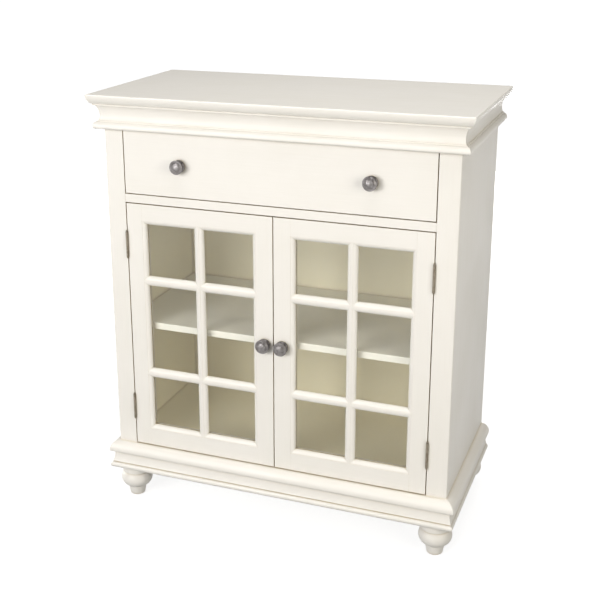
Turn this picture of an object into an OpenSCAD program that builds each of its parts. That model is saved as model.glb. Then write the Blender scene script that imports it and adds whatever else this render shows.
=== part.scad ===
// Glazed display cabinet: one wide drawer over a pair of six-pane doors, on turned feet.
// Millimetres. The origin is on the floor under the middle of the cabinet's box,
// +X to the right seen from the front, +Y from the front to the back, +Z up.

/* [Carcass] */
// Width of the body across the two front posts
body_w = 740; // [640:1:860]
// Depth of the body, from the face of the posts to the back
body_d = 368; // [340:1:420]
// Height from the floor to the upper face of the top
total_h = 916; // [880:1:980]
// Thickness of the side panels
side_t = 18; // [15:1:22]
// Width of each front post
post_w = 42; // [36:1:50]
// Thickness of the posts, rails, drawer front and doors
frame_t = 20; // [18:1:24]
// Thickness of the deck under the drawer; its front edge is the rail between drawer and doors
deck_t = 18; // [16:1:22]
// Thickness of the back panel
back_t = 6; // [4:1:8]

/* [Top and cornice] */
// Overhang of the top past the posts and sides
top_over = 26; // [24:1:32]
// Thickness of the top
top_t = 19; // [18:1:25]
// Height of the moulding under the top
cornice_h = 52; // [50:1:60]
// Projection of the bead at the foot of that moulding
cornice_out = 17.5; // [16:0.5:19]

/* [Base and feet] */
// Height of the turned feet
foot_h = 75; // [70:1:80]
// Height of the base moulding
base_h = 64; // [62:1:72]
// Projection of the base moulding
base_out = 18; // [17:0.5:19]
// Largest radius of a foot
foot_r = 35; // [32:0.5:38]
// Foot's axis, measured in from the side and, for the front feet, from the front face
foot_in = 25; // [22:1:30]
// Axis of the back feet, measured in from the back
foot_in_back = 35; // [32:1:45]

/* [Doors] */
// Gap around each door and around the drawer front
gap = 2; // [1.8:0.1:2.5]
// Width of the stile that carries the hinges
hinge_stile_w = 43; // [38:1:55]
// Width of the stile where the doors meet
meet_stile_w = 45; // [38:1:55]
// Width of a door's top rail
door_top_w = 44; // [38:1:60]
// Width of a door's bottom rail
door_bottom_w = 47.5; // [38:0.5:60]
// Width of the glazing bars
bar_w = 21.5; // [20:0.5:26]
// Height of the lowest and highest panes
pane_h = 113; // [90:1:130]
// Thickness of the glass
glass_t = 3; // [3:0.5:4]
// Height of a hinge
hinge_h = 56; // [50:1:75]
// Distance of a hinge's middle from the door's end
hinge_in = 89; // [70:1:110]

/* [Drawer] */
// Height of the drawer front
drawer_h = 131; // [110:1:150]
// Length of the drawer box behind its front
drawer_len = 316; // [260:1:320]
// Thickness of the drawer box's sides and back
box_t = 12; // [10:1:14]
// Distance of a drawer knob from the middle
knob_x = 201; // [150:1:260]

/* [Shelf] */
// Height of the shelf's upper face
shelf_z = 422; // [330:1:500]
// Thickness of the shelf
shelf_t = 15; // [12:1:18]

/* [Hidden] */

$fn = 64;
e = 1;                                  // overrun of a cut past the face it opens

hw = body_w / 2;                        // half the body's width
yf = (top_over - body_d) / 2;           // face of posts, doors and drawer
yb = yf + body_d;                       // back of the body
yi = yf + frame_t;                      // back of the posts
z_top = total_h - top_t;                // underside of the top
z_corn = z_top - cornice_h;             // foot of the cornice
z_base = foot_h + base_h;               // upper edge of the base moulding
seat_h = 36;                            // base frame's height under the carcass
z_seat = foot_h + seat_h;
xi = hw - post_w;                       // half the opening between the posts
xs = hw - side_t;                       // inner face of a side panel
y_back = yb - 2 - back_t;               // inner face of the back panel

z_dr1 = z_corn - gap;                   // drawer front, top
z_dr0 = z_dr1 - drawer_h;               // drawer front, bottom
z_deck1 = z_dr0 - gap;
z_deck0 = z_deck1 - deck_t;
z_d1 = z_deck0 - gap;                   // doors, top
z_d0 = z_base + gap;                    // doors, bottom
x_h = xi - gap;                         // hinge edge of the right door
x_m = gap / 2;                          // meeting edge of the right door
x_g1 = x_h - hinge_stile_w;             // sight edges of the right door's panes
x_g0 = x_m + meet_stile_w;
z_g1 = z_d1 - door_top_w;
z_g0 = z_d0 + door_bottom_w;
x_bar = (x_g0 + x_g1) / 2;              // middle of the upright bar
z_bar = [z_g0 + pane_h + bar_w / 2, z_g1 - pane_h - bar_w / 2];

glass_in = 9.5;                         // depth of the glass behind the door's face
ovolo_r = 8.8;                          // radius of the moulded edge round each pane
quirk = glass_in - ovolo_r;             // small step beside it
rebate = 8;                             // width of the rebate behind the moulded edge
board_z = z_base + 7;                   // upper face of the bottom board: it laps 5 mm behind the doors

hinge_x = xi - gap / 2;                 // hinge pin, in the middle of the gap
pin_r = 1.2;
knuckle_r = 2.4;
hinge_y = yf - knuckle_r - 0.2;         // hinge pin, just proud of the doors' face
leaf_t = 0.8;
leaf_y1 = yi - 2;
hinge_z = [z_d0 + hinge_in, z_d1 - hinge_in];
screw_z = [-20, 20];                    // screws above and below a hinge's middle

knob_h = 21.5;
door_knob_x = x_m + 18.5;
door_knob_z = (z_d0 + z_d1) / 2 + 2;
drawer_knob_z = (z_dr0 + z_dr1) / 2;

box_x = x_h - 6;                        // outer face of the drawer box's sides
box_z0 = z_deck1 + 0.5;
box_z1 = z_dr1 - 13;

// ---------- shared shapes ----------

// A box between two corners
module span(x0, x1, y0, y1, z0, z1) {
    translate([x0, y0, z0]) cube([x1 - x0, y1 - y0, z1 - z0]);
}

// Its children, and their mirror image on the other side of the middle
module both_sides() {
    children();
    mirror([1, 0, 0]) children();
}

module cream() { color([0.93, 0.91, 0.86]) children(); }
module bare_wood() { color([0.80, 0.69, 0.52]) children(); }
module pewter() { color([0.48, 0.46, 0.44]) children(); }
module steel() { color([0.62, 0.60, 0.57]) children(); }

// What is cut from a square corner at (0,0) to round it to radius r; the body lies at +x, +y
module corner_cut(r) {
    difference() {
        translate([-e, -e]) square([r + e, r + e]);
        translate([r, r]) circle(r);
    }
}

// ---------- profiles of the mouldings: x is the projection, y the height ----------

// Bead, ledge and cove under the top
module cornice_profile() {
    top = cornice_h;
    difference() {
        square([cornice_out, 15]);
        translate([cornice_out, 15]) mirror([1, 0]) mirror([0, 1]) corner_cut(9);
        translate([cornice_out, 0]) mirror([1, 0]) corner_cut(4.5);
    }
    translate([0, 14]) square([10, 3]);
    difference() {
        translate([0, 16]) square([15, top - 19]);
        translate([40.2, 28.5]) circle(34.4, $fn = 160);
    }
    translate([0, top - 4]) square([16, 4]);
}

// Torus, hollow fascia and bead around the base
module base_profile() {
    p = base_out;
    intersection() {
        translate([0, base_h - p]) circle(p, $fn = 120);
        translate([0, base_h - p - 2]) square([p, p + 2]);
    }
    intersection() {
        union() {
            translate([p - 5.5, base_h - p - 2]) circle(5.5);
            square([p - 5.5, base_h]);
        }
        translate([0, base_h - p - 7.5]) square([p, 5.5]);
    }
    difference() {
        translate([0, 15.5]) square([15, base_h - p - 21.5]);
        translate([66.5, base_h - p - 8]) circle(57.5, $fn = 200);
    }
    translate([0, 13]) square([11.3, 3]);      // quirk between the hollow and the bead
    square([p - 7.5, 14]);
    translate([p - 7.5, 7]) circle(7);
}

// A run of moulding on the front, from x = -len/2 to len/2, on the plane y = yf
module run_front(z, len) {
    translate([len / 2, yf, z]) rotate([0, 0, -90]) rotate([90, 0, 0]) linear_extrude(len) children();
}

// A run of moulding on the right side, from y0 to y1, on the plane x = hw
module run_right(z, y0, y1) {
    translate([hw, y1, z]) rotate([90, 0, 0]) linear_extrude(y1 - y0) children();
}

// Space in front of the body between the mitres at its two corners
module front_mitre(z0, z1) {
    r = 40;
    translate([0, 0, z0]) linear_extrude(z1 - z0)
        polygon([[-hw, yf], [hw, yf], [hw + r, yf - r], [-hw - r, yf - r]]);
}

// Space beside the body behind the right mitre
module right_mitre(z0, z1) {
    r = 40;
    translate([0, 0, z0]) linear_extrude(z1 - z0)
        polygon([[hw, yf], [hw + r, yf - r], [hw + r, yb + e], [hw, yb + e]]);
}

// ---------- carcass ----------

// What is cut from the slab's lower edge: a long rounding under a short upright edge
module slab_cut() {
    h = top_t - 2;
    difference() {
        translate([-e, -e]) square([9, h + e]);
        translate([23, h]) circle(23, $fn = 160);
    }
}

// Slab with its lower edge rounded over on the front and both sides
module top_panel() {
    x = hw + top_over;
    y0 = yf - top_over;
    cream() intersection() {
        translate([0, yb, z_top]) rotate([90, 0, 0]) linear_extrude(yb - y0) difference() {
            translate([-x, 0]) square([2 * x, top_t]);
            translate([-x, 0]) slab_cut();
            translate([x, 0]) mirror([1, 0]) slab_cut();
            translate([-x, top_t]) mirror([0, 1]) corner_cut(2);
            translate([x, top_t]) mirror([0, 1]) mirror([1, 0]) corner_cut(2);
        }
        translate([x, 0, z_top]) rotate([0, 0, -90]) rotate([90, 0, 0]) linear_extrude(2 * x) difference() {
            translate([-yb, 0]) square([yb - y0, top_t]);
            translate([-y0, 0]) mirror([1, 0]) slab_cut();
            translate([-y0, top_t]) mirror([0, 1]) mirror([1, 0]) corner_cut(2);
        }
    }
}

module cornice_front() {
    cream() intersection() {
        run_front(z_corn, 2 * hw + 80) cornice_profile();
        front_mitre(z_corn, z_top);
    }
}

module cornice_side() {
    intersection() {
        run_right(z_corn, yf - 40, yb) cornice_profile();
        right_mitre(z_corn, z_top);
    }
}
module cornice_right() { cream() cornice_side(); }
module cornice_left() { cream() mirror([1, 0, 0]) cornice_side(); }

// Front post, its outer corner eased between the two mouldings
module post() {
    difference() {
        span(xi, hw, yf, yi, z_seat, z_top);
        translate([hw, yf, z_base]) linear_extrude(z_corn - z_base) mirror([1, 0]) corner_cut(3);
    }
}
module post_right() { cream() post(); }
module post_left() { cream() mirror([1, 0, 0]) post(); }

// Hidden behind the cornice, over the drawer
module top_rail() { cream() span(-xi, xi, yf, yi, z_corn, z_top); }

// Full-depth board, notched round the posts, flush with their face
module drawer_deck() {
    cream() union() {
        span(-xi, xi, yf, yi + e, z_deck0, z_deck1);
        span(-xs, xs, yi, y_back, z_deck0, z_deck1);
    }
}

module bottom_rail() { cream() span(-xi, xi, yf, yi, z_seat, z_base); }

// Side panel with a rebate for the back
module side() {
    difference() {
        span(xs, hw, yi, yb, z_seat, z_top);
        span(xs - e, xs + 10, y_back, yb + e, z_seat - e, z_top + e);
    }
}
module side_right() { cream() side(); }
module side_left() { cream() mirror([1, 0, 0]) side(); }

module back_panel() { cream() span(-xs - 10, xs + 10, y_back, yb - 2, z_seat, z_top); }

module bottom_board() { cream() span(-xs, xs, yi + 0.5, y_back, board_z - 18, board_z); }

// ---------- base frame ----------
rail_in = 45;                           // width of the base frame inside the body's face

module bolt_bore(x, y) { translate([x, y, foot_h - e]) cylinder(h = seat_h + 2 * e, r = 4); }

// Front of the base frame: moulding, with a flat seat for the carcass behind it
module base_front() {
    cream() difference() {
        union() {
            intersection() {
                run_front(foot_h, 2 * hw + 80) base_profile();
                front_mitre(foot_h, z_base);
            }
            span(-hw, hw, yf, yf + rail_in, foot_h, z_seat);
        }
        bolt_bore(hw - foot_in, yf + foot_in);
        bolt_bore(-hw + foot_in, yf + foot_in);
    }
}

module base_side() {
    intersection() {
        run_right(foot_h, yf - 40, yb) base_profile();
        right_mitre(foot_h, z_base);
    }
    span(hw - rail_in, hw, yf + rail_in, yb - rail_in, foot_h, z_seat);
}
module base_right() { cream() union() base_side(); }
module base_left() { cream() mirror([1, 0, 0]) union() base_side(); }

module base_back() {
    cream() difference() {
        span(-hw, hw, yb - rail_in, yb, foot_h, z_seat);
        bolt_bore(hw - foot_in, yb - foot_in_back);
        bolt_bore(-hw + foot_in, yb - foot_in_back);
    }
}

// ---------- feet ----------

// Tapered toe, bun, groove and collar, turned in one piece, drilled for its bolt
module foot(x, y) {
    toe_z = 22.5;
    bun_r = 21;
    neck_z = 57;
    translate([x, y, 0]) difference() {
        rotate_extrude($fn = 96) {
            translate([13.2, 4]) circle(4);
            polygon([[0, 0], [13.2, 0], [13.2, 4], [17.2, 4], [20.9, toe_z], [0, toe_z]]);
            intersection() {
                translate([foot_r - bun_r, 42.3]) circle(bun_r, $fn = 120);
                translate([0, toe_z]) square([foot_r + 1, neck_z - toe_z]);
            }
            translate([0, toe_z]) square([foot_r - bun_r, neck_z - toe_z]);
            translate([0, neck_z - 1]) square([foot_r - 6.2, 4]);
            translate([0, neck_z + 1.5]) square([foot_r - 5, foot_h - neck_z - 1.5]);
            translate([0, neck_z + 3]) square([foot_r - 3.5, foot_h - neck_z - 3]);
            translate([foot_r - 5, neck_z + 3]) circle(1.5);
        }
        translate([0, 0, foot_h - 38]) cylinder(h = 38 + e, r = 4);
    }
}
module foot_front_right() { cream() foot(hw - foot_in, yf + foot_in); }
module foot_front_left() { cream() foot(-hw + foot_in, yf + foot_in); }
module foot_back_right() { cream() foot(hw - foot_in, yb - foot_in_back); }
module foot_back_left() { cream() foot(-hw + foot_in, yb - foot_in_back); }

// One headless bolt from each foot up into the base frame
module foot_bolts() {
    steel() for (x = [-hw + foot_in, hw - foot_in], y = [yf + foot_in, yb - foot_in_back])
        translate([x, y, foot_h - 36]) cylinder(h = 68, r = 3.95);
}

// ---------- inside ----------

module shelf() { cream() span(-xs + 1, xs - 1, yi + 4, y_back - 1, shelf_z - shelf_t, shelf_z); }

module shelf_pins() {
    steel() both_sides() for (y = [yi + 40, y_back - 40])
        translate([xs - 9, y, shelf_z - shelf_t - 2.5]) rotate([0, 90, 0]) cylinder(h = 18, r = 2.5);
}

// Two guides on the deck beside the drawer, and two kickers over its sides
module drawer_guides() {
    bare_wood() both_sides() {
        span(box_x + 1, xs, yi + 0.5, yb - 17, z_deck1, z_deck1 + 18);
        span(box_x - 18, xs, yi + 0.5, yb - 17, box_z1 + 4, box_z1 + 20);
    }
}

// A magnetic catch behind each meeting stile, under the deck
module door_catches() {
    color([0.86, 0.84, 0.79]) both_sides()
        span(x_m + 9, x_m + 37, yi + 1.7, yi + 20, z_deck0 - 12, z_deck0);
}

// ---------- hinges: five knuckles, the post's leaf carries 1, 3 and 5 ----------

knuckle_h = hinge_h / 5;

// Leaf plate at x from a to b; knuckles listed in ks; the space of the others is left free
module leaf(a, b, ks) {
    plate_y0 = hinge_y + knuckle_r + 0.6;
    difference() {
        union() {
            span(a, b, plate_y0, leaf_y1, -hinge_h / 2, hinge_h / 2);
            for (k = ks) {
                z0 = -hinge_h / 2 + k * knuckle_h + 0.15;
                translate([hinge_x, hinge_y, z0]) cylinder(h = knuckle_h - 0.3, r = knuckle_r);
                span(a, b, hinge_y + 1, plate_y0 + e, z0, z0 + knuckle_h - 0.3);
            }
        }
        translate([hinge_x, hinge_y, -hinge_h]) cylinder(h = 2 * hinge_h, r = pin_r + 0.05);
    }
}

module post_leaf() {
    difference() {
        leaf(xi - leaf_t, xi, [0, 2, 4]);
        for (z = screw_z) translate([xi - leaf_t, (yf + leaf_y1) / 2 + 1, z]) rotate([0, 90, 0])
            translate([0, 0, -0.01]) cylinder(h = leaf_t + 0.02, r1 = 3, r2 = 1.9);
    }
}

module door_leaf() {
    difference() {
        leaf(x_h, x_h + leaf_t, [1, 3]);
        for (z = screw_z) translate([x_h + leaf_t, (yf + leaf_y1) / 2 + 1, z]) rotate([0, -90, 0])
            translate([0, 0, -0.01]) cylinder(h = leaf_t + 0.02, r1 = 3, r2 = 1.9);
    }
}

module post_hinge_leaves() {
    pewter() both_sides() for (z = hinge_z) translate([0, 0, z]) post_leaf();
}

// Pins with a small turned tip at each end
module hinge_pins() {
    pewter() both_sides() for (z = hinge_z) translate([hinge_x, hinge_y, z]) rotate_extrude() {
        translate([0, -hinge_h / 2 - 2]) square([pin_r, hinge_h + 4]);
        for (s = [-1, 1]) intersection() {
            translate([0, s * (hinge_h / 2 + 1.4)]) circle(1.8);
            translate([0, s > 0 ? hinge_h / 2 : -hinge_h / 2 - 5]) square([3, 5]);
        }
    }
}

// Countersunk wood screw along +x from the origin
module wood_screw() {
    rotate([0, 90, 0]) {
        cylinder(h = leaf_t, r1 = 2.95, r2 = 1.85);
        cylinder(h = 14, r = 1.5);
    }
}

module post_hinge_screws() {
    pewter() both_sides() for (z = hinge_z, s = screw_z)
        translate([xi - leaf_t, (yf + leaf_y1) / 2 + 1, z + s]) wood_screw();
}

// ---------- knobs ----------

// Round knob standing out along -y from (x, yf, z): foot disc, waist and a domed head with a
// turned ring, tapped for its screw
module knob(x, z) {
    dome_r = 20.8;
    translate([x, yf, z]) rotate([90, 0, 0]) difference() {
        rotate_extrude($fn = 80) {
            square([10.6, 5]);
            translate([10.6, 2.5]) circle(2.5);
            difference() {
                translate([0, 4]) square([12, 9.5]);
                translate([16.3, 9]) circle(7);
            }
            polygon([[0, 12.8], [9.8, 12.8], [12.9, 14.3], [12.9, 17.6], [0, 17.6]]);
            translate([12.9, 15.9]) circle(1.75);
            difference() {
                intersection() {
                    translate([0, knob_h - dome_r]) circle(dome_r, $fn = 120);
                    translate([0, 15]) square([12.4, 10]);
                }
                translate([9.9, 19.7]) circle(1.3);
            }
        }
        translate([0, 0, -e]) cylinder(h = 15 + e, r = 2);
    }
}

// Machine screw from behind a front of thickness frame_t into the knob, with a pan head
module knob_screw(x, z) {
    translate([x, yf, z]) rotate([-90, 0, 0]) {
        translate([0, 0, -14]) cylinder(h = 14 + frame_t, r = 1.95);
        translate([0, 0, frame_t]) cylinder(h = 2.2, r = 4);
    }
}

// Clearance hole through a front for a knob's screw
module knob_hole(x, z) {
    translate([x, yf - e, z]) rotate([-90, 0, 0]) cylinder(h = frame_t + 2 * e, r = 2.2);
}

// ---------- drawer ----------

module drawer_front() {
    cream() difference() {
        span(-x_h, x_h, yf, yi, z_dr0, z_dr1);
        knob_hole(knob_x, drawer_knob_z);
        knob_hole(-knob_x, drawer_knob_z);
    }
}

bottom_z = box_z0 + 8;                  // underside of the drawer's bottom
bottom_t = 6;

module drawer_side() {
    difference() {
        span(box_x - box_t, box_x, yi, yi + drawer_len, box_z0, box_z1);
        span(box_x - box_t - e, box_x - box_t + 4, yi - e, yi + drawer_len + e, bottom_z, bottom_z + bottom_t);
    }
}
module drawer_side_right() { bare_wood() drawer_side(); }
module drawer_side_left() { bare_wood() mirror([1, 0, 0]) drawer_side(); }
module drawer_back() {
    bare_wood() span(-box_x + box_t, box_x - box_t, yi + drawer_len - box_t, yi + drawer_len, bottom_z + bottom_t, box_z1 - 6);
}
module drawer_bottom() {
    bare_wood() span(-box_x + box_t - 4, box_x - box_t + 4, yi, yi + drawer_len, bottom_z, bottom_z + bottom_t);
}
module drawer_knobs() {
    pewter() union() { knob(knob_x, drawer_knob_z); knob(-knob_x, drawer_knob_z); }
}
module drawer_knob_screws() {
    steel() union() { knob_screw(knob_x, drawer_knob_z); knob_screw(-knob_x, drawer_knob_z); }
}

// ---------- doors: drawn as the right door, mirrored for the left ----------

// Section of a stile or rail of width w: outer edge at x = 0, pane at x = w, face at y = 0;
// grow swells the moulded edge, for the cutter that copes another member over it
module member_profile(w, grow = 0) {
    r = ovolo_r + grow;
    difference() {
        union() {
            square([w - rebate, frame_t]);
            square([w + grow, glass_in]);
        }
        difference() {
            translate([w - ovolo_r, -e]) square([r + e, glass_in + e]);
            translate([w - ovolo_r, glass_in]) circle(r);
        }
    }
}

// Section of a glazing bar, moulded on both edges
module bar_profile(grow = 0) {
    h = bar_w / 2;
    r = ovolo_r + grow;
    difference() {
        translate([-h - grow, 0]) square([bar_w + 2 * grow, glass_in]);
        for (m = [0, 1]) mirror([m, 0]) difference() {
            translate([h - ovolo_r, -e]) square([r + e, glass_in + e]);
            translate([h - ovolo_r, glass_in]) circle(r);
        }
    }
}

// Lays a section along x: its x becomes height, its y stays depth; it ends at x1
module along_x(x0, x1, z) {
    translate([x1, yf, z]) rotate([0, -90, 0]) linear_extrude(x1 - x0) children();
}

module hinge_stile_body(grow = 0) {
    translate([x_h, yf, z_d0]) mirror([1, 0, 0]) linear_extrude(z_d1 - z_d0) member_profile(hinge_stile_w, grow);
}
module meeting_stile_body(grow = 0) {
    translate([x_m, yf, z_d0]) linear_extrude(z_d1 - z_d0) member_profile(meet_stile_w, grow);
}
module hinge_stile() { hinge_stile_body(); }
module meeting_stile() {
    difference() {
        meeting_stile_body();
        knob_hole(door_knob_x, door_knob_z);
    }
}
module top_rail_bar(grow = 0) {
    mirror([0, 0, 1]) along_x(x_g0 - ovolo_r, x_g1 + ovolo_r, -z_d1) member_profile(door_top_w, grow);
}
module bottom_rail_bar(grow = 0) {
    along_x(x_g0 - ovolo_r, x_g1 + ovolo_r, z_d0) member_profile(door_bottom_w, grow);
}
fit_gap = 0.03;                         // a coped joint's glue line
// The rails are coped over the stiles' moulded edges
module door_top_rail() {
    difference() { top_rail_bar(); hinge_stile_body(fit_gap); meeting_stile_body(fit_gap); }
}
module door_bottom_rail() {
    difference() { bottom_rail_bar(); hinge_stile_body(fit_gap); meeting_stile_body(fit_gap); }
}
module upright_bar_body(grow = 0) {
    translate([x_bar, yf, z_g0 - ovolo_r]) linear_extrude(z_g1 - z_g0 + 2 * ovolo_r) bar_profile(grow);
}
module upright_bar() {
    difference() { upright_bar_body(); top_rail_bar(fit_gap); bottom_rail_bar(fit_gap); }
}
// Each cross bar is two lengths, coped over a stile at one end and the upright bar at the other
module cross_bars() {
    for (z = z_bar) {
        difference() {
            along_x(x_g0 - ovolo_r, x_bar, z) bar_profile();
            meeting_stile_body(fit_gap);
            upright_bar_body(fit_gap);
        }
        difference() {
            along_x(x_bar, x_g1 + ovolo_r, z) bar_profile();
            hinge_stile_body(fit_gap);
            upright_bar_body(fit_gap);
        }
    }
}
module glass() {
    span(x_g0 - 7, x_g1 + 7, yf + glass_in, yf + glass_in + glass_t, z_g0 - 7, z_g1 + 7);
}
// Four square beads with one corner taken off hold the glass in its rebate
module glass_beads() {
    b = rebate - 0.5;
    d = frame_t - glass_in - glass_t;
    module bead() { polygon([[0, 0], [b, 0], [b, d - 3], [b - 3, d], [0, d]]); }
    y = yf + glass_in + glass_t;
    translate([x_g0 - rebate, y, z_g0 - rebate]) linear_extrude(z_g1 - z_g0 + 2 * rebate) bead();
    translate([x_g1 + rebate, y, z_g0 - rebate]) mirror([1, 0, 0]) linear_extrude(z_g1 - z_g0 + 2 * rebate) bead();
    len = x_g1 - x_g0 + 2 * rebate - 2 * b - 0.1;
    translate([x_g1 + rebate - b - 0.05, y, z_g0 - rebate]) rotate([0, -90, 0]) linear_extrude(len) bead();
    translate([x_g1 + rebate - b - 0.05, y, z_g1 + rebate]) mirror([0, 0, 1]) rotate([0, -90, 0]) linear_extrude(len) bead();
}
module door_screws() {
    knob_screw(door_knob_x, door_knob_z);
    for (z = hinge_z, s = screw_z)
        translate([x_h + leaf_t, (yf + leaf_y1) / 2 + 1, z + s]) mirror([1, 0, 0]) wood_screw();
}
// Thin plate that the catch's magnet holds
module strike() { span(x_m + 12, x_m + 34, yi, yi + 1.2, z_d1 - 13, z_d1 - 1); }

module door_right_hinge_stile() { cream() hinge_stile(); }
module door_right_meeting_stile() { cream() meeting_stile(); }
module door_right_top_rail() { cream() door_top_rail(); }
module door_right_bottom_rail() { cream() door_bottom_rail(); }
module door_right_upright_bar() { cream() upright_bar(); }
module door_right_cross_bars() { cream() cross_bars(); }
module door_right_glass() { color([0.85, 0.93, 0.90, 0.3]) glass(); }
module door_right_glass_beads() { cream() glass_beads(); }
module door_right_hinge_leaves() { pewter() for (z = hinge_z) translate([0, 0, z]) door_leaf(); }
module door_right_knob() { pewter() knob(door_knob_x, door_knob_z); }
module door_right_screws() { steel() door_screws(); }
module door_right_strike() { steel() strike(); }

module door_left_hinge_stile() { cream() mirror([1, 0, 0]) hinge_stile(); }
module door_left_meeting_stile() { cream() mirror([1, 0, 0]) meeting_stile(); }
module door_left_top_rail() { cream() mirror([1, 0, 0]) door_top_rail(); }
module door_left_bottom_rail() { cream() mirror([1, 0, 0]) door_bottom_rail(); }
module door_left_upright_bar() { cream() mirror([1, 0, 0]) upright_bar(); }
module door_left_cross_bars() { cream() mirror([1, 0, 0]) cross_bars(); }
module door_left_glass() { color([0.85, 0.93, 0.90, 0.3]) mirror([1, 0, 0]) glass(); }
module door_left_glass_beads() { cream() mirror([1, 0, 0]) glass_beads(); }
module door_left_hinge_leaves() { pewter() mirror([1, 0, 0]) for (z = hinge_z) translate([0, 0, z]) door_leaf(); }
module door_left_knob() { pewter() mirror([1, 0, 0]) knob(door_knob_x, door_knob_z); }
module door_left_screws() { steel() mirror([1, 0, 0]) door_screws(); }
module door_left_strike() { steel() mirror([1, 0, 0]) strike(); }

top_panel();
cornice_front();
cornice_left();
cornice_right();
post_left();
post_right();
top_rail();
drawer_deck();
bottom_rail();
side_left();
side_right();
back_panel();
bottom_board();
base_front();
base_left();
base_right();
base_back();
shelf();
shelf_pins();
drawer_guides();
foot_front_left();
foot_front_right();
foot_back_left();
foot_back_right();
foot_bolts();
post_hinge_leaves();
hinge_pins();
post_hinge_screws();
door_catches();
drawer_front();
drawer_side_left();
drawer_side_right();
drawer_back();
drawer_bottom();
drawer_knobs();
drawer_knob_screws();
door_left_hinge_stile();
door_left_meeting_stile();
door_left_top_rail();
door_left_bottom_rail();
door_left_upright_bar();
door_left_cross_bars();
door_left_glass();
door_left_glass_beads();
door_left_hinge_leaves();
door_left_knob();
door_left_screws();
door_left_strike();
door_right_hinge_stile();
door_right_meeting_stile();
door_right_top_rail();
door_right_bottom_rail();
door_right_upright_bar();
door_right_cross_bars();
door_right_glass();
door_right_glass_beads();
door_right_hinge_leaves();
door_right_knob();
door_right_screws();
door_right_strike();
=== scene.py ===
import math

import bmesh
import bpy
from mathutils import Matrix, Vector

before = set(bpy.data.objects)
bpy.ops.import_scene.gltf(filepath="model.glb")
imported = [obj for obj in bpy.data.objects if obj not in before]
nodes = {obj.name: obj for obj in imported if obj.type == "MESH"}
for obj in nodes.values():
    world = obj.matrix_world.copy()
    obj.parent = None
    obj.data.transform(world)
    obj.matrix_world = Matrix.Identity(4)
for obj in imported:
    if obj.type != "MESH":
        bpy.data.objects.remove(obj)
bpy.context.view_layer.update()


# ------------------------------------------------------------------ node-tree helpers

class Tree:
    """A material's node tree, built link by link."""

    def __init__(self, name):
        self.mat = bpy.data.materials.new(name)
        self.mat.use_nodes = True
        self.nt = self.mat.node_tree
        self.nt.nodes.clear()
        self.out = self.add("ShaderNodeOutputMaterial")

    def add(self, kind, **inputs):
        n = self.nt.nodes.new(kind)
        for key, value in inputs.items():
            key = key.replace("_", " ")
            if key in n.inputs:
                self.put(n.inputs[key], value)
        return n

    def put(self, socket, value):
        if isinstance(value, bpy.types.NodeSocket):
            self.nt.links.new(value, socket)
        else:
            socket.default_value = value

    def coords(self, scale):
        t = self.add("ShaderNodeTexCoord")
        m = self.add("ShaderNodeMapping")
        self.put(m.inputs["Vector"], t.outputs["Object"])
        m.inputs["Scale"].default_value = scale
        return m.outputs["Vector"]

    def noise(self, vector, scale=1.0, detail=3.0, rough=0.5, distort=0.0):
        n = self.add("ShaderNodeTexNoise", Vector=vector, Scale=scale, Detail=detail, Roughness=rough, Distortion=distort)
        return n.outputs["Fac"]

    def math(self, op, a, b=0.0, c=0.0, clamp=False):
        n = self.add("ShaderNodeMath")
        n.operation = op
        n.use_clamp = clamp
        for s, v in zip(n.inputs, (a, b, c)):
            self.put(s, v)
        return n.outputs[0]

    def span(self, value, lo, hi, to_lo=0.0, to_hi=1.0, smooth=False):
        n = self.add("ShaderNodeMapRange")
        n.interpolation_type = "SMOOTHSTEP" if smooth else "LINEAR"
        n.clamp = True
        for key, v in (("Value", value), ("From Min", lo), ("From Max", hi), ("To Min", to_lo), ("To Max", to_hi)):
            self.put(n.inputs[key], v)
        return n.outputs["Result"]

    def mix(self, factor, a, b, blend="MIX"):
        n = self.add("ShaderNodeMix")
        n.data_type = "RGBA"
        n.blend_type = blend
        n.clamp_factor = True
        self.put(n.inputs[0], factor)
        self.put(n.inputs[6], a)
        self.put(n.inputs[7], b)
        return n.outputs[2]

    def bump(self, height, distance, strength=1.0, normal=None):
        n = self.add("ShaderNodeBump", Height=height, Distance=distance, Strength=strength)
        if normal is not None:
            self.put(n.inputs["Normal"], normal)
        return n.outputs["Normal"]

    def principled(self, colour, roughness, normal=None, **constants):
        n = self.add("ShaderNodeBsdfPrincipled")
        self.put(n.inputs["Base Color"], colour)
        self.put(n.inputs["Roughness"], roughness)
        if normal is not None:
            self.put(n.inputs["Normal"], normal)
        for key, v in constants.items():
            n.inputs[key.replace("_", " ")].default_value = v
        self.put(self.out.inputs["Surface"], n.outputs[0])
        return n


def srgb(r, g, b):
    """A display colour, 0 to 255, as a linear RGBA tuple."""
    f = lambda c: c / 12.92 if c <= 0.04045 else ((c + 0.055) / 1.055) ** 2.4
    return (f(r / 255), f(g / 255), f(b / 255), 1.0)


# ------------------------------------------------------------------ materials

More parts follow.
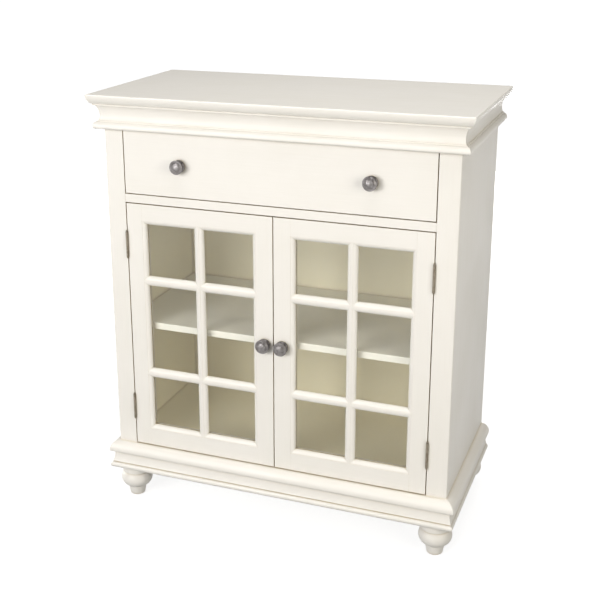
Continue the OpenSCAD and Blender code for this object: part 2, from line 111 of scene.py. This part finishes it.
def paint(name, grain, light, deep, shade_tan, rough=(0.36, 0.5), outside=None):
    """Satin lacquer over wood: soft clouding, brush streaks along the grain, fine orange peel, and painted shade, a
    tan that ambient occlusion mixes into the quirks, gaps and moulding steps.

    outside is (axis, place, pair of colours) for the faces that lie farther out than place on that axis,
    on a panel whose other face is inside the cabinet.
    """
    t = Tree(name)
    along = [420.0, 420.0, 420.0]
    along[grain] = 11.0
    streak = t.noise(t.coords(along), 1.0, 4.0, 0.6)
    pores = [1900.0, 1900.0, 1900.0]
    pores[grain] = 60.0
    pore = t.noise(t.coords(pores), 1.0, 2.0, 0.5)
    cloud = t.noise(t.coords((1, 1, 1)), 5.5, 3.0, 0.55, 0.4)
    peel = t.noise(t.coords((1, 1, 1)), 780.0, 2.0, 0.5)
    tone = t.math("ADD", t.span(cloud, 0.3, 0.75, 0.0, 0.65), t.span(streak, 0.35, 0.75, 0.0, 0.35))
    colour = t.mix(tone, light, deep)
    # painted light: faces inside keep the warm-lit copy, and faces farther out take the plain cream pair
    if outside:
        axis, at, pair = outside
        place = t.add("ShaderNodeSeparateXYZ", Vector=t.coords((1, 1, 1)))
        far = t.math("ABSOLUTE", place.outputs[axis])
        colour = t.mix(t.span(far, at, at + 0.001), colour, t.mix(tone, *pair))
    # painted shade: ambient occlusion mixes the tan into quirks, gaps and moulding steps, where shade falls
    ao = t.add("ShaderNodeAmbientOcclusion")
    ao.samples = 6
    ao.inputs["Distance"].default_value = 0.009
    ao.inputs["Color"].default_value = (1, 1, 1, 1)
    crevice_shade = t.math("POWER", t.math("SUBTRACT", 1.0, ao.outputs["AO"], clamp=True), 1.5)
    crevice_shade = t.math("MULTIPLY", crevice_shade, t.span(cloud, 0.25, 0.7, 0.75, 1.1), clamp=True)
    colour = t.mix(crevice_shade, colour, shade_tan)
    r = t.math("ADD", t.span(streak, 0.3, 0.7, rough[0], rough[1]), t.span(cloud, 0.3, 0.7, -0.03, 0.03))
    normal = t.bump(streak, 0.00010)
    normal = t.bump(pore, 0.000018, normal=normal)
    normal = t.bump(peel, 0.000030, normal=normal)
    t.principled(colour, r, normal, IOR=1.5)
    return t.mat


# the third colour is the tan of painted shade in quirks and gaps
LIGHT, DEEP, SHADE_TAN = srgb(233, 229, 222), srgb(227, 223, 214), srgb(172, 148, 92)
# painted light: a lighter, yellower copy of the cream paint for faces inside the cabinet, standing in for the warm
# light there
INNER_WARMLIT_LIGHT, INNER_WARMLIT_DEEP = srgb(247, 239, 212), srgb(241, 232, 202)
PAINT = [paint(f"cream_paint_{a}", i, LIGHT, DEEP, SHADE_TAN) for i, a in enumerate("xyz")]
# painted shade: the bars take a paler tan in their quirks
BAR = [paint(f"bar_paint_{a}", i, LIGHT, DEEP, srgb(206, 198, 176)) for i, a in enumerate("xyz")]
# painted light: a lighter copy of the cream paint for the shelf, standing in for the light on its front
LIT_SHELF = paint("shelf_lit_paint", 0, srgb(250, 246, 234), srgb(246, 241, 226), SHADE_TAN, (0.42, 0.58))
INNER_WARMLIT = [paint(f"inner_warmlit_paint_{a}", i, INNER_WARMLIT_LIGHT, INNER_WARMLIT_DEEP, SHADE_TAN, (0.42, 0.58)) for i, a in enumerate("xyz")]


def wood(name, grain, light, dark):
    """Bare hardwood: growth rings cut lengthwise, pores and a dull, sanded surface."""
    t = Tree(name)
    s = [26.0, 26.0, 26.0]
    s[grain] = 1.6
    bend = t.noise(t.coords(s), 0.5, 3.0, 0.55, 0.8)
    ring = t.math("PINGPONG", t.math("MULTIPLY", bend, 9.0), 1.0)
    f = [900.0, 900.0, 900.0]
    f[grain] = 16.0
    fibre = t.noise(t.coords(f), 1.0, 3.0, 0.65)
    tone = t.math("ADD", t.span(ring, 0.0, 1.0, 0.0, 0.6), t.span(fibre, 0.3, 0.75, 0.0, 0.4))
    colour = t.mix(tone, light, dark)
    r = t.span(fibre, 0.3, 0.7, 0.55, 0.72)
    normal = t.bump(fibre, 0.00012)
    t.principled(colour, r, t.bump(ring, 0.00004, normal=normal), IOR=1.45)
    return t.mat


WOOD = [wood(f"bare_wood_{a}", i, srgb(214, 184, 140), srgb(176, 138, 92)) for i, a in enumerate("xyz")]


def pewter():
    """Cast pewter: dull grey metal with a shallow hammered skin and dark patina left in the low places."""
    t = Tree("pewter")
    c = t.coords((1, 1, 1))
    v = t.add("ShaderNodeTexVoronoi", Vector=c, Scale=420.0)
    v.feature = "SMOOTH_F1"
    v.inputs["Smoothness"].default_value = 0.6
    dimple = v.outputs["Distance"]
    grit = t.noise(c, 2600.0, 3.0, 0.6)
    cloud = t.noise(c, 160.0, 4.0, 0.6)
    tone = t.span(cloud, 0.35, 0.68)
    colour = t.mix(tone, srgb(142, 139, 139), srgb(104, 101, 100))
    colour = t.mix(t.span(dimple, 0.25, 0.75, 0.0, 0.45), colour, srgb(84, 78, 72))
    ao = t.add("ShaderNodeAmbientOcclusion")
    ao.samples = 8
    ao.inputs["Distance"].default_value = 0.009
    patina = t.math("POWER", t.math("SUBTRACT", 1.0, ao.outputs["AO"], clamp=True), 0.8)
    colour = t.mix(patina, colour, srgb(60, 50, 42))
    r = t.math("ADD", t.span(cloud, 0.3, 0.7, 0.34, 0.46), t.math("MULTIPLY", patina, 0.2))
    normal = t.bump(dimple, 0.00035)
    normal = t.bump(grit, 0.00002, normal=normal)
    t.principled(colour, r, normal, Metallic=0.95)
    return t.mat


def steel(name, light, dark, rough):
    """Aged plated steel: fine drawing lines up its length and soft brown tarnish."""
    t = Tree(name)
    c = t.coords((1, 1, 1))
    cloud = t.noise(c, 210.0, 4.0, 0.65)
    lines = t.noise(t.coords((2600.0, 2600.0, 90.0)), 1.0, 2.0, 0.6)
    colour = t.mix(t.span(cloud, 0.35, 0.7), light, dark)
    ao = t.add("ShaderNodeAmbientOcclusion")
    ao.samples = 6
    ao.inputs["Distance"].default_value = 0.002
    colour = t.mix(t.math("SUBTRACT", 1.0, ao.outputs["AO"], clamp=True), colour, srgb(70, 60, 48))
    r = t.math("ADD", t.span(lines, 0.3, 0.7, rough - 0.06, rough + 0.06), t.span(cloud, 0.3, 0.7, -0.05, 0.08))
    t.principled(colour, r, t.bump(lines, 0.00001), Metallic=0.95)
    return t.mat


PEWTER = pewter()
HINGE = steel("aged_steel", srgb(142, 134, 120), srgb(100, 90, 76), 0.44)
BOLT = steel("plated_steel", srgb(190, 188, 180), srgb(150, 146, 138), 0.34)


def glass():
    """A thin clear pane: it passes light and mirrors a little at a glance, with faint float waviness and haze."""
    t = Tree("clear_glass")
    c = t.coords((1, 1, 1))
    wave = t.noise(c, 9.0, 1.0, 0.4)
    smear = t.noise(t.coords((60.0, 60.0, 14.0)), 1.0, 4.0, 0.6)
    normal = t.bump(wave, 0.0008, 0.25)
    through = t.add("ShaderNodeBsdfTransparent")
    through.inputs["Color"].default_value = (0.985, 0.990, 0.984, 1.0)
    shine = t.add("ShaderNodeBsdfGlossy")
    t.put(shine.inputs["Color"], (1, 1, 1, 1))
    t.put(shine.inputs["Roughness"], t.span(smear, 0.35, 0.75, 0.015, 0.07))
    t.put(shine.inputs["Normal"], normal)
    facing = t.add("ShaderNodeLayerWeight")
    facing.inputs["Blend"].default_value = 0.5
    glance = t.math("POWER", facing.outputs["Facing"], 5.0)
    m = t.add("ShaderNodeMixShader")
    t.put(m.inputs[0], t.math("MULTIPLY_ADD", glance, 0.9, 0.03, clamp=True))
    t.put(m.inputs[1], through.outputs[0])
    t.put(m.inputs[2], shine.outputs[0])
    t.put(t.out.inputs["Surface"], m.outputs[0])
    return t.mat


GLASS = glass()


def plastic():
    """Moulded nylon with a fine spark-eroded texture."""
    t = Tree("catch_plastic")
    c = t.coords((1, 1, 1))
    grit = t.noise(c, 2200.0, 2.0, 0.6)
    cloud = t.noise(c, 120.0, 2.0, 0.5)
    colour = t.mix(t.span(cloud, 0.3, 0.7), srgb(214, 208, 192), srgb(200, 193, 175))
    t.principled(colour, t.span(grit, 0.3, 0.7, 0.42, 0.56), t.bump(grit, 0.00003), IOR=1.5)
    return t.mat


PLASTIC = plastic()


# ------------------------------------------------------------------ finish of every CAD node

def dress(node, material):
    mesh = nodes[node].data
    for i in range(max(1, len(mesh.materials))):
        if i < len(mesh.materials):
            mesh.materials[i] = material
        else:
            mesh.materials.append(material)


def soften(node, width, segments=2, angle=32.0, dissolve=True):
    """Eases the arrises of a wooden or metal piece, as sanding and lacquer do."""
    o = nodes[node]
    weld = o.modifiers.new("weld", "WELD")
    weld.merge_threshold = 0.00001
    if dissolve:
        flat = o.modifiers.new("flat", "DECIMATE")
        flat.decimate_type = "DISSOLVE"
        flat.angle_limit = math.radians(0.4)
    b = o.modifiers.new("ease", "BEVEL")
    b.width = width
    b.segments = segments
    b.limit_method = "ANGLE"
    b.angle_limit = math.radians(angle)
    b.use_clamp_overlap = True
    b.miter_outer = "MITER_SHARP"
    w = o.modifiers.new("shade", "WEIGHTED_NORMAL")
    w.keep_sharp = False
    w.weight = 80
    o.data.polygons.foreach_set("use_smooth", [True] * len(o.data.polygons))


X, Y, Z = 0, 1, 2
OUTER = {
    "top_panel": X, "cornice_front": X, "cornice_left": Y, "cornice_right": Y,
    "post_left": Z, "post_right": Z, "top_rail": X, "drawer_deck": X, "bottom_rail": X,
    "side_left": Z, "side_right": Z, "base_front": X, "base_left": Y, "base_right": Y, "base_back": X,
    "foot_front_left": Z, "foot_front_right": Z, "foot_back_left": Z, "foot_back_right": Z,
    "drawer_front": X,
}
for side in ("left", "right"):
    OUTER.update({
        f"door_{side}_hinge_stile": Z, f"door_{side}_meeting_stile": Z, f"door_{side}_top_rail": X,
        f"door_{side}_bottom_rail": X, f"door_{side}_upright_bar": Z, f"door_{side}_cross_bars": X,
        f"door_{side}_glass_beads": X,
    })
for node, grain in OUTER.items():
    dress(node, PAINT[grain])
# painted light: the inner faces of the back and sides take the warm-lit copy of the cream, and the outer faces the
# plain cream
dress("back_panel", paint("back_paint", Z, INNER_WARMLIT_LIGHT, INNER_WARMLIT_DEEP, SHADE_TAN, (0.42, 0.58), ("Y", 0.1915, (LIGHT, DEEP))))
side_paint = paint("side_paint", Z, INNER_WARMLIT_LIGHT, INNER_WARMLIT_DEEP, SHADE_TAN, (0.36, 0.5), ("X", 0.3525, (LIGHT, DEEP)))
dress("side_left", side_paint)
dress("side_right", side_paint)
dress("bottom_board", INNER_WARMLIT[X])
dress("shelf", LIT_SHELF)
for side in ("left", "right"):
    dress(f"door_{side}_upright_bar", BAR[Z])
    dress(f"door_{side}_cross_bars", BAR[X])
for node, grain in {"drawer_guides": Y, "drawer_side_left": Y, "drawer_side_right": Y, "drawer_back": X, "drawer_bottom": X}.items():
    dress(node, WOOD[grain])
for node in ("drawer_knobs", "door_left_knob", "door_right_knob"):
    dress(node, PEWTER)
for node in ("post_hinge_leaves", "hinge_pins", "door_left_hinge_leaves", "door_right_hinge_leaves"):
    dress(node, HINGE)
for node in ("foot_bolts", "shelf_pins", "post_hinge_screws", "drawer_knob_screws", "door_left_screws",
             "door_right_screws", "door_left_strike", "door_right_strike"):
    dress(node, BOLT)
dress("door_catches", PLASTIC)
for node in ("door_left_glass", "door_right_glass"):
    dress(node, GLASS)

for node, width in {
    "top_panel": 0.0006, "cornice_front": 0.0004, "cornice_left": 0.0004, "cornice_right": 0.0004,
    "post_left": 0.0009, "post_right": 0.0009, "top_rail": 0.0005, "drawer_deck": 0.0006, "bottom_rail": 0.0005,
    "side_left": 0.0006, "side_right": 0.0006, "back_panel": 0.0004, "bottom_board": 0.0005,
    "base_front": 0.0004, "base_left": 0.0004, "base_right": 0.0004, "base_back": 0.0006,
    "shelf": 0.0012, "drawer_front": 0.0010, "drawer_side_left": 0.0005, "drawer_side_right": 0.0005,
    "drawer_back": 0.0005, "drawer_bottom": 0.0004, "drawer_guides": 0.0006, "door_catches": 0.0008,
}.items():
    soften(node, width)
for side in ("left", "right"):
    for part, width in {"hinge_stile": 0.0008, "meeting_stile": 0.0008, "top_rail": 0.0004, "bottom_rail": 0.0004}.items():
        soften(f"door_{side}_{part}", width)


# ------------------------------------------------------------------ stage, light and camera

def studio_floor():
    me = bpy.data.meshes.new("studio_floor")
    s = 40.0
    me.from_pydata([(-s, -s, 0), (s, -s, 0), (s, s, 0), (-s, s, 0)], [], [(0, 1, 2, 3)])
    o = bpy.data.objects.new("studio_floor", me)
    bpy.context.scene.collection.objects.link(o)
    t = Tree("studio_paper")
    away = t.add("ShaderNodeVectorMath", Vector=t.coords((1, 1, 0)))
    away.operation = "LENGTH"
    glow = t.span(away.outputs["Value"], 0.7, 2.6, 0.79, 1.0, True)
    d = t.add("ShaderNodeBsdfDiffuse")
    d.inputs["Color"].default_value = (0.36, 0.36, 0.36, 1)
    e = t.add("ShaderNodeEmission", Color=(1, 1, 1, 1), Strength=glow)
    a = t.add("ShaderNodeAddShader")
    t.put(a.inputs[0], d.outputs[0])
    t.put(a.inputs[1], e.outputs[0])
    t.put(t.out.inputs["Surface"], a.outputs[0])
    me.materials.append(t.mat)
    o.visible_diffuse = False


def studio_wall():
    """A round white wall far off, seen behind the object in low views."""
    r, h, n = 38.0, 40.0, 96
    ring = [(r * math.cos(2 * math.pi * i / n), r * math.sin(2 * math.pi * i / n)) for i in range(n)]
    me = bpy.data.meshes.new("studio_wall")
    me.from_pydata([(x, y, 0) for x, y in ring] + [(x, y, h) for x, y in ring], [],
                   [(i, (i + 1) % n, n + (i + 1) % n, n + i) for i in range(n)])
    o = bpy.data.objects.new("studio_wall", me)
    bpy.context.scene.collection.objects.link(o)
    t = Tree("studio_white")
    e = t.add("ShaderNodeEmission", Color=(1, 1, 1, 1), Strength=1.0)
    t.put(t.out.inputs["Surface"], e.outputs[0])
    me.materials.append(t.mat)
    o.visible_diffuse = o.visible_glossy = o.visible_transmission = o.visible_shadow = False


studio_floor()
studio_wall()

scene = bpy.context.scene
world = bpy.data.worlds.new("studio")
world.use_nodes = True
wn = world.node_tree
wn.nodes.clear()
bg = wn.nodes.new("ShaderNodeBackground")
bg.inputs["Color"].default_value = (1.0, 0.995, 0.985, 1)
bg.inputs["Strength"].default_value = 0.16
wo = wn.nodes.new("ShaderNodeOutputWorld")
wn.links.new(bg.outputs[0], wo.inputs["Surface"])
scene.world = world


def softbox(name, place, aim, size, watts, colour=(1, 1, 1)):
    l = bpy.data.lights.new(name, "AREA")
    l.shape = "RECTANGLE"
    l.size, l.size_y = size
    l.energy = watts
    l.color = colour
    o = bpy.data.objects.new(name, l)
    bpy.context.scene.collection.objects.link(o)
    o.location = place
    o.rotation_mode = "QUATERNION"
    o.rotation_quaternion = (Vector(aim) - Vector(place)).to_track_quat("-Z", "Y")
    return o


softbox("front", (-1.25, -3.0, 1.3), (0, 0, 0.45), (1.9, 1.7), 76.5, (1.0, 0.996, 0.998))
softbox("fill", (0.4, -3.6, 1.0), (0, 0, 0.45), (1.6, 1.6), 11.0, (1.0, 0.97, 0.91))
softbox("above", (0.25, -0.2, 2.7), (0.1, 0, 0.9), (1.8, 1.6), 34.0, (1.0, 0.995, 0.985))
softbox("left", (-3.0, 0.5, 0.5), (0, 0, 0.5), (1.6, 0.7), 40.0, (1.0, 0.995, 0.985))
softbox("back", (-0.6, 3.3, 0.45), (0, 0, 0.45), (2.2, 0.8), 70.0, (1.0, 0.995, 0.985))
softbox("right", (2.3, -1.5, 1.2), (0.37, 0, 0.5), (1.2, 1.4), 31.0, (1.0, 0.965, 0.88))

scene.view_settings.view_transform = "Standard"
scene.view_settings.look = "None"
scene.view_settings.exposure = 0.0
scene.view_settings.gamma = 1.0

cam = bpy.data.objects.new("camera", bpy.data.cameras.new("camera"))
scene.collection.objects.link(cam)
cam.data.sensor_fit = "HORIZONTAL"
cam.data.sensor_width = 36.0
cam.data.lens = 1076.687 / 600.0 * 36.0
cam.data.shift_x, cam.data.shift_y = 30.0 / 600.0, -50.0 / 600.0
cam.data.clip_start, cam.data.clip_end = 0.05, 200.0
right = Vector((0.9310173, 0.3649145, -0.0066526))
down = Vector((0.1019499, -0.2775236, -0.9552941))
ahead = Vector((-0.3504469, 0.8887171, -0.2955822))
m = Matrix((right, -down, -ahead)).transposed().to_4x4()
m.translation = Vector((0.7454510, -2.0767810, 1.2556723))
cam.matrix_world = m
scene.camera = cam
